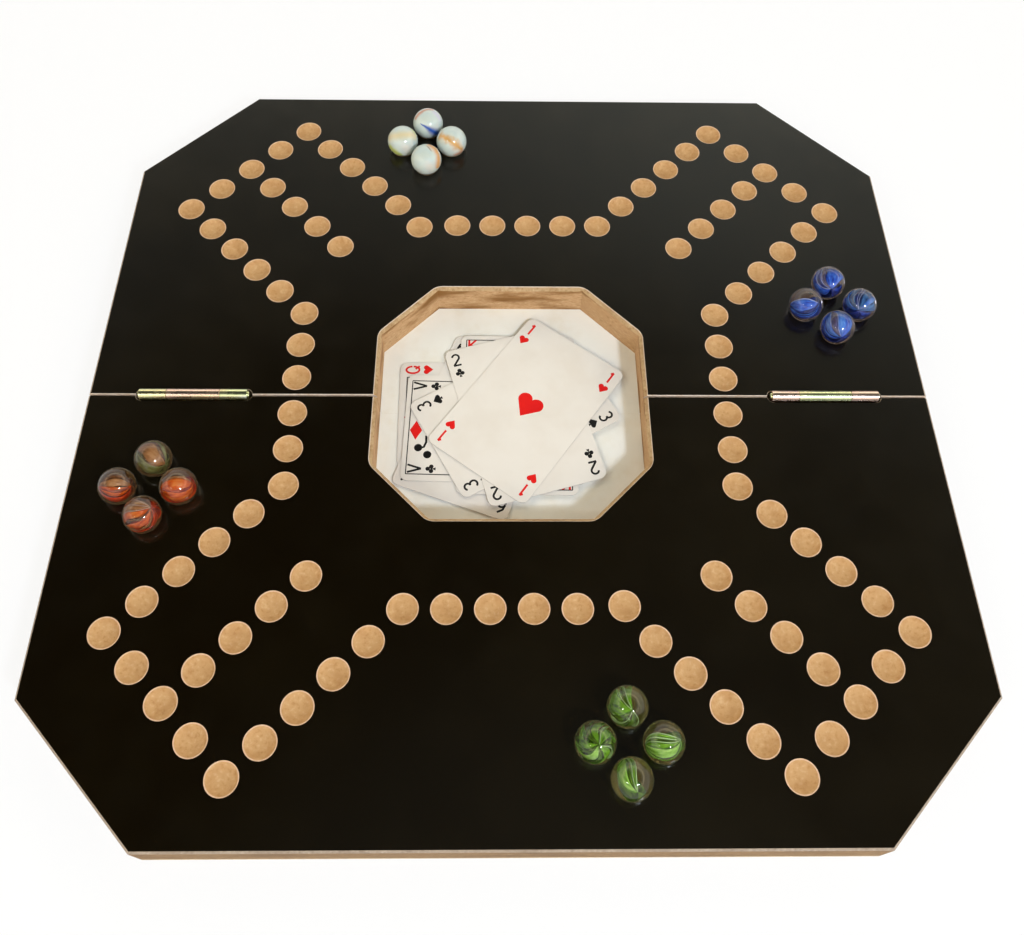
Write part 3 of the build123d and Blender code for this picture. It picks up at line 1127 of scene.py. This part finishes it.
def add_clear_marble(node, body, slot, glass, pole, ribbons):
    """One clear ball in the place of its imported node; a ribbon is (finish, start, end, wave)."""
    add_ball(node, body, glass)
    shape = Shape()
    for ribbon in ribbons:
        add_ribbon(shape, *ribbon)
    mesh = shape.mesh(node + "_ribbons", ribbon_finishes)
    smooth(mesh, 60)
    core = new_object(node + "_ribbons", mesh)
    core.matrix_world = Matrix.Translation(node_middle(node)) @ aim_core(node_middle(node), pole)
    thick = core.modifiers.new("sheet", "SOLIDIFY")
    thick.thickness = ribbon_thickness
    thick.offset = 0
    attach(core, body)


ribbon_looks = {
    "green": ((0.07, 0.17, 0.008, 1), (0.23, 0.46, 0.03, 1), (0.38, 0.66, 0.10, 1), 3.0),
    "light_green": ((0.28, 0.52, 0.06, 1), (0.46, 0.76, 0.14, 1), (0.58, 0.84, 0.26, 1), 3.0),
    "dark_green": ((0.05, 0.08, 0.008, 1), (0.11, 0.19, 0.015, 1), (0.22, 0.36, 0.04, 1), 5.0),
    "pale_green": ((0.58, 0.82, 0.34, 1), (0.68, 0.88, 0.44, 1), (0.78, 0.92, 0.58, 1), 2.0),
    "blue": ((0.012, 0.045, 0.32, 1), (0.03, 0.13, 0.60, 1), (0.12, 0.30, 0.76, 1), 4.0),
    "light_blue": ((0.04, 0.13, 0.50, 1), (0.09, 0.26, 0.68, 1), (0.20, 0.42, 0.80, 1), 3.0),
    "teal": ((0.015, 0.05, 0.16, 1), (0.04, 0.14, 0.32, 1), (0.12, 0.30, 0.50, 1), 4.0),
    "dark_blue": ((0.008, 0.012, 0.09, 1), (0.015, 0.03, 0.20, 1), (0.04, 0.09, 0.40, 1), 4.0),
    "pale_blue": ((0.36, 0.42, 0.72, 1), (0.46, 0.52, 0.80, 1), (0.60, 0.66, 0.86, 1), 2.0),
    "purple_grey": ((0.08, 0.06, 0.11, 1), (0.15, 0.11, 0.18, 1), (0.20, 0.18, 0.30, 1), 3.0),
    "orange": ((0.55, 0.06, 0.006, 1), (0.86, 0.14, 0.012, 1), (0.92, 0.26, 0.05, 1), 3.0),
    "red": ((0.42, 0.02, 0.003, 1), (0.70, 0.05, 0.004, 1), (0.86, 0.12, 0.02, 1), 3.0),
    "tan": ((0.26, 0.11, 0.035, 1), (0.46, 0.20, 0.075, 1), (0.60, 0.31, 0.14, 1), 3.0),
    "brown": ((0.08, 0.03, 0.010, 1), (0.18, 0.065, 0.020, 1), (0.34, 0.13, 0.04, 1), 4.0),
    "olive": ((0.10, 0.10, 0.02, 1), (0.22, 0.22, 0.06, 1), (0.34, 0.35, 0.14, 1), 3.0),
    "pink": ((0.62, 0.34, 0.26, 1), (0.74, 0.46, 0.38, 1), (0.84, 0.62, 0.54, 1), 2.0),
}
ribbon_finishes = {name: ribbon_material(name + "_ribbon", *look) for name, look in ribbon_looks.items()}
marble_cores = {
    "near_marble_1": ((0.30, -0.75), [
        ("light_green", 8, 50), ("green", 50, 58), ("dark_green", -4, 6), ("pale_green", -14, -9),
        ("green", -22, -16), ("pale_green", -30, -25), ("dark_green", 150, 200),
    ]),
    "near_marble_2": ((0.97, 0.12), [
        ("pale_green", -36, -31), ("green", -30, -22), ("pale_green", -20, -14),
        ("dark_green", -11, -6), ("pale_green", -4, 1), ("green", 2, 24), ("light_green", 24, 74),
        ("green", 74, 100), ("dark_green", 150, 200),
    ]),
    "near_marble_3": ((0.22, -0.16), [
        ("green", 0, 38, 14), ("dark_green", 44, 62, 10), ("light_green", 66, 108, 12),
        ("dark_green", 112, 132, 10), ("green", 136, 176, 12), ("pale_green", 182, 190, 10),
        ("dark_green", 198, 222, 10), ("green", 226, 262, 12), ("pale_green", 268, 276, 10),
        ("green", 284, 318, 12), ("dark_green", 322, 344, 12),
    ]),
    "near_marble_4": ((0.31, -0.23), [
        ("green", -12, 60), ("pale_green", -20, -15), ("dark_green", -36, -26),
        ("pale_green", -44, -39), ("green", -68, -44, 4), ("dark_green", 60, 84),
        ("pale_green", 96, 100), ("dark_green", 112, 150), ("pale_green", 154, 158),
    ]),
    "right_marble_1": ((0.25, -0.55), [
        ("blue", -100, -12, 8), ("purple_grey", -8, 14, 6), ("pale_blue", 16, 20, 6),
        ("dark_blue", 20, 42, 6), ("pale_blue", 46, 49, 4), ("blue", 50, 120, 6),
        ("dark_blue", 150, 230, 6),
    ]),
    "right_marble_2": ((0.94, 0.10), [
        ("pale_blue", -30, -26, -10), ("blue", -24, 34, -8), ("dark_blue", 34, 52),
        ("light_blue", 52, 66), ("blue", 66, 100), ("dark_blue", 140, 200),
    ]),
    "right_marble_3": ((-0.05, -0.45), [
        ("light_blue", 56, 90), ("teal", 22, 54), ("dark_blue", 10, 22), ("pale_blue", 4, 8, 3),
        ("pale_blue", -8, -5, 3), ("teal", -44, -12), ("light_blue", -70, -46), ("teal", -110, -74),
        ("dark_blue", 110, 240),
    ]),
    "right_marble_4": ((0.30, -0.80), [
        ("light_blue", 22, 62), ("blue", 62, 100), ("purple_grey", -10, 18, 4),
        ("pale_blue", -15, -12, 2), ("light_blue", -50, -16), ("blue", -95, -52),
        ("dark_blue", 130, 220),
    ]),
    "left_marble_1": ((0.55, 0.45), [
        ("brown", -150, -108), ("pink", -106, -98, 6), ("tan", -96, -78, 6), ("pink", -76, -70, 4),
        ("tan", -68, -48, 4), ("pink", -46, -41, 4), ("orange", -40, -10, 4), ("brown", -6, 6, 4),
        ("orange", 12, 50, 4), ("tan", 52, 70), ("red", 72, 120), ("red", 150, 200),
    ]),
    "left_marble_2": ((0.95, 0.20), [
        ("tan", -48, -36, -6), ("orange", -36, 16, -6), ("red", 16, 26), ("orange", 26, 108),
        ("red", 140, 200),
    ]),
    "left_marble_3": ((0.92, 0.05), [
        ("brown", -60, -34, -10), ("tan", -32, 4, -14), ("orange", 4, 18, -4), ("red", 18, 26),
        ("orange", 26, 52), ("red", 52, 116), ("brown", 150, 200),
    ]),
    "left_marble_4": ((0.80, -0.42), [
        ("olive", -96, -80, 6), ("brown", -74, -60, 8), ("tan", -56, 22, 10), ("brown", 22, 27, 6),
        ("olive", 28, 108), ("olive", 150, 215),
    ]),
}
# The first tint is the glass's own faint colour made much darker as painted shade, so the dimple seen
# through the ball looks shaded; the second sets how much lamp light passes through to below.
for place, slot, *shade_darkened_tints in (
    ("near", "green_glass", (0.36, 0.40, 0.26, 1), (0.15, 0.18, 0.10, 1)),
    ("right", "blue_glass", (0.44, 0.46, 0.58, 1), (0.15, 0.16, 0.22, 1)),
    ("left", "orange_glass", (0.44, 0.40, 0.32, 1), (0.15, 0.14, 0.11, 1)),
):
    glass = clear_glass(slot + "_clear", *shade_darkened_tints)
    for number in range(1, 5):
        name = f"{place}_marble_{number}"
        add_clear_marble(name, place + "_marbles", slot, glass, *marble_cores[name])

# Playing cards
# Seven loose cards of coated white card lie crossed on the tray's floor. Each is cut with round
# corners and printed in red or black with plain suit pips; the backs have a crossed pattern.
card_half_length = 0.044
card_half_width = 0.029
card_corner = 0.0035
card_white = (0.74, 0.71, 0.67, 1)
card_shade = (0.70, 0.66, 0.61, 1)
back_blue = (0.05, 0.10, 0.30, 1)
back_pitch = 0.0032
back_line = 0.13
back_border = 0.0035
index_size = 0.0066
index_stroke = 0.155
index_x, index_y = 0.0377, 0.0242
index_step = 0.0076
court_index_step = 0.0078
pip_size = 0.0049
large_pip_size = 0.012
ace_pip_size = 0.0132
pen_width = 0.0005
ornament_discs = ((0.0365, 0.0116), (0.0319, 0.0152))
ornament_disc_radius = 0.0020
ornament_stem = ((0.0360, 0.0118), (0.0338, 0.0112), (0.0328, 0.0085), (0.0330, 0.0050))
ornament_stem_width = 0.0011
ornament_lozenge = ((0.0412, 0.0022), (0.0382, 0.0074), (0.0352, 0.0022), (0.0382, -0.0030))
ornament_bow = (0.013, 0.008, 0.0009)
ornament_sash = ((-0.003, -0.021), (0.003, 0.021))
ornament_sash_width = 0.0016
sash_line_step = 0.0018
suit_inks = {"heart": "red", "spade": "black", "club": "black"}


def card_paper(name, base, shade, roughness):
    """Coated card with the faint cloud of its coating."""
    made, tree, shader = new_material(name, {"Roughness": roughness, "Specular IOR Level": 0.25})
    place = object_place(tree)
    cloud = between(tree, noise(tree, place, 45.0, 3.0, 0.55), 0.35, 0.75)
    tree.links.new(mix_colours(tree, cloud, base, shade), shader["Base Color"])
    tree.links.new(bump(tree, noise(tree, place, 3000.0), 0.000008, 0.4), shader["Normal"])
    return made


def card_back():
    """Blue back with a fine white lattice inside a white border."""
    made, tree, shader = new_material("card_back", {"Roughness": 0.42, "Specular IOR Level": 0.45})
    parts = place_node(tree, "ShaderNodeSeparateXYZ", {0: object_place(tree)}).outputs
    bars, sides = [], []
    for sign in (1.0, -1.0):
        across = math_node(tree, "MULTIPLY_ADD", parts["Y"], sign, parts["X"])
        wave = math_node(tree, "PINGPONG", math_node(tree, "DIVIDE", across, back_pitch), 0.5)
        bars.append(between(tree, wave, back_line, back_line * 0.7))
    for axis, reach in (("X", card_half_length), ("Y", card_half_width)):
        out = math_node(tree, "ABSOLUTE", parts[axis])
        sides.append(math_node(tree, "SUBTRACT", reach - back_border, out))
    lattice = math_node(tree, "MAXIMUM", *bars)
    inside = between(tree, math_node(tree, "MINIMUM", *sides), 0.0, 0.0002)
    blue_share = math_node(tree, "MULTIPLY", math_node(tree, "SUBTRACT", 1.0, lattice), inside)
    tree.links.new(mix_colours(tree, blue_share, card_white, back_blue), shader["Base Color"])
    return made


card_finishes = {
    "paper": card_paper("card_face", card_white, card_shade, 0.42),
    "red": card_paper("red_ink", (0.70, 0.010, 0.008, 1), (0.60, 0.006, 0.008, 1), 0.38),
    "black": card_paper("black_ink", (0.004, 0.004, 0.004, 1), (0.010, 0.009, 0.009, 1), 0.38),
    "edge": card_paper("card_edge", (0.45, 0.43, 0.41, 1), card_shade, 0.8),
    "back": card_back(),
}


def stroke(points, width):
    """Outline of a pen stroke of the width along the points."""
    left, right = [], []
    last = len(points) - 1
    for step, point in enumerate(points):
        before = Vector(points[max(0, step - 1)])
        after = Vector(points[min(last, step + 1)])
        ahead = (after - before).normalized()
        side = Vector((-ahead.y, ahead.x)) * (width / 2)
        left.append(tuple(Vector(point) + side))
        right.append(tuple(Vector(point) - side))
    return left + right[::-1]


queen_turns = [radians(5 + 350 * step / 20) for step in range(21)]
digit_lines = {
    "1": [[(-0.16, 0.3), (0.0, 0.5)], [(0.0, 0.5), (0.0, -0.5)]],
    "2": [[*arc_points((0, 0.24), 0.26, 170, -45, 12), (-0.28, -0.46)], [(-0.30, -0.46), (0.30, -0.46)]],
    "3": [arc_points((-0.02, 0.25), 0.24, 150, -80, 12), arc_points((-0.02, -0.22), 0.27, 85, -150, 12)],
    "6": [arc_points((0, -0.22), 0.27, 175, -175, 20), [(-0.26, -0.2), (-0.2, 0.2), (0.12, 0.5)]],
    "V": [[(-0.3, 0.5), (0.0, -0.5)], [(0.0, -0.5), (0.3, 0.5)]],
    "Q": [[(0.30 * cos(turn), 0.5 * sin(turn)) for turn in queen_turns], [(0.06, -0.2), (0.32, -0.52)]],
    "K": [[(-0.26, 0.5), (-0.26, -0.5)], [(0.28, 0.5), (-0.24, -0.02)], [(-0.1, 0.1), (0.3, -0.5)]],
}


def pip_outlines(suit):
    """Closed outlines that together make a suit pip one unit high."""
    lobe = arc_points((0.25, 0.2), 0.27, -28, 158, 12)
    heart = [(0, -0.5), *lobe, *[(-x, y) for x, y in lobe[::-1]]]
    stem = [(-0.16, -0.5), (0.16, -0.5), (0.04, -0.2), (0.04, 0.0), (-0.04, 0.0), (-0.04, -0.2)]
    if suit == "heart":
        return [heart]
    if suit == "spade":
        return [[(x * 1.02, -y * 0.85 + 0.08) for x, y in heart], stem]
    middles = ((0, 0.27), (-0.24, -0.07), (0.24, -0.07))
    return [*[ring_points(middle, 0.22, 18) for middle in middles], stem]


def placed(outlines, middle, size, turn):
    """Outlines turned, scaled to the size and moved to their middle on the card."""
    c, s = cos(radians(turn)) * size, sin(radians(turn)) * size
    return [[(middle[0] + x * c - y * s, middle[1] + x * s + y * c) for x, y in line] for line in outlines]


def index_prints(mark, suit, corner, pip_step):
    """Corner numerals, each with its pip a step further in; they read upright from both ends."""
    x, y = corner
    ink = suit_inks[suit]
    lines = [stroke(line, index_stroke) for line in digit_lines[mark]]
    prints = []
    for end, side in ((1, 1), (-1, -1), (1, -1), (-1, 1)):
        strokes = placed(lines, (end * x, side * y), index_size, -90 * end)
        pips = placed(pip_outlines(suit), (end * (x - pip_step), side * y), pip_size, -90 * end)
        prints += [(ink, line) for line in (*strokes, *pips)]
    return prints


def number_card(mark, suit, places, size=large_pip_size):
    """Prints of a card with indices, and pips down its middle that are upright from both ends."""
    prints = index_prints(mark, suit, (index_x, index_y), index_step)
    for x in places:
        pip = placed(pip_outlines(suit), (x, 0), size, -90 if x >= 0 else 90)
        prints += [(suit_inks[suit], line) for line in pip]
    return prints


def court_card(mark, suit, frame_corner, index_corner):
    """Prints of a court card: a frame, indices and a plain ornament the same both ways up."""
    x, y = frame_corner
    bars = [((-x, y), (x, y)), ((-x, -y), (x, -y)), ((-x, -y), (-x, y)), ((x, -y), (x, y))]
    prints = index_prints(mark, suit, index_corner, court_index_step)
    prints += [("black", stroke(bar, pen_width)) for bar in bars]
    bow_place, bow_radius, bow_width = ornament_bow
    for way in (1, -1):
        for across, along in ornament_discs:
            prints.append(("black", ring_points((way * across, way * along), ornament_disc_radius, 16)))
        stem = [(way * px, way * py) for px, py in ornament_stem]
        prints.append(("black", stroke(stem, ornament_stem_width)))
        prints.append(("red", [(way * px, way * py) for px, py in ornament_lozenge]))
        start = 60 + 90 * (1 - way)
        bow = arc_points((way * bow_place, 0), bow_radius, start, start + 240, 16)
        prints.append(("black", stroke(bow, bow_width)))
    edge = [(px + sash_line_step, py) for px, py in ornament_sash]
    prints.append(("red", stroke(ornament_sash, ornament_sash_width)))
    return prints + [("black", stroke(edge, pen_width))]


card_prints = {
    "card_heart_ace": number_card("1", "heart", [0], ace_pip_size),
    "card_club_two": number_card("2", "club", [0.025, -0.025]),
    "card_spade_three": number_card("3", "spade", [0.025, 0, -0.025]),
    "card_heart_king": court_card("K", "heart", (0.0414, 0.0262), (0.0380, 0.0232)),
    "card_club_jack": court_card("V", "club", (0.0416, 0.0255), (0.0377, 0.0226)),
    "card_spade_six": number_card("6", "spade", [0.025, 0, -0.025]),
    "card_heart_queen": court_card("Q", "heart", (0.0404, 0.0205), (0.0377, 0.0248)),
}


def long_side_turn(node):
    """Turn of a packed card's long side about Z, from the spread of its corners."""
    middle = node_middle(node)
    spread = [vertex.co - middle for vertex in frame["nodes"][node].data.vertices]
    xx, yy = sum(point.x**2 for point in spread), sum(point.y**2 for point in spread)
    return atan2(2 * sum(point.x * point.y for point in spread), xx - yy) / 2


def left_about(line):
    """The outline in the order that goes left about its inside."""
    pairs = zip(line, line[1:] + line[:1])
    area = sum(first[0] * second[1] - second[0] * first[1] for first, second in pairs)
    return line if area > 0 else line[::-1]


def card_shape(prints, thickness):
    """Shape of a printed card about its middle."""
    outline = []
    for x, y, start in ((1, 1, 0), (-1, 1, 90), (-1, -1, 180), (1, -1, 270)):
        middle = (x * (card_half_length - card_corner), y * (card_half_width - card_corner))
        outline += arc_points(middle, card_corner, start, start + 90, 8)
    points, triangles, rings = filled([outline, *[left_about(line) for _, line in prints]])
    inks = ["paper", *[ink for ink, _ in prints]]
    shape = Shape()
    top_row = shape.row([(*point, thickness / 2) for point in points])
    for triangle, source in triangles:
        shape.face([top_row[corner] for corner in triangle], inks[max(source)])
    low_row = shape.row([(x, y, -thickness / 2) for x, y in outline])
    rim_row = [top_row[corner] for corner in rings[0]]
    for step in range(len(outline)):
        shape.side(low_row, rim_row, step, "edge")
    shape.face(low_row[::-1], "back")
    return shape


for name, prints in card_prints.items():
    low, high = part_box(name)
    card = new_object(name + "_printed", card_shape(prints, high.z - low.z).mesh(name, card_finishes))
    card.matrix_world = Matrix.Translation(node_middle(name)) @ Matrix.Rotation(long_side_turn(name), 4, "Z")
    fit_piece(card, name, "cards")
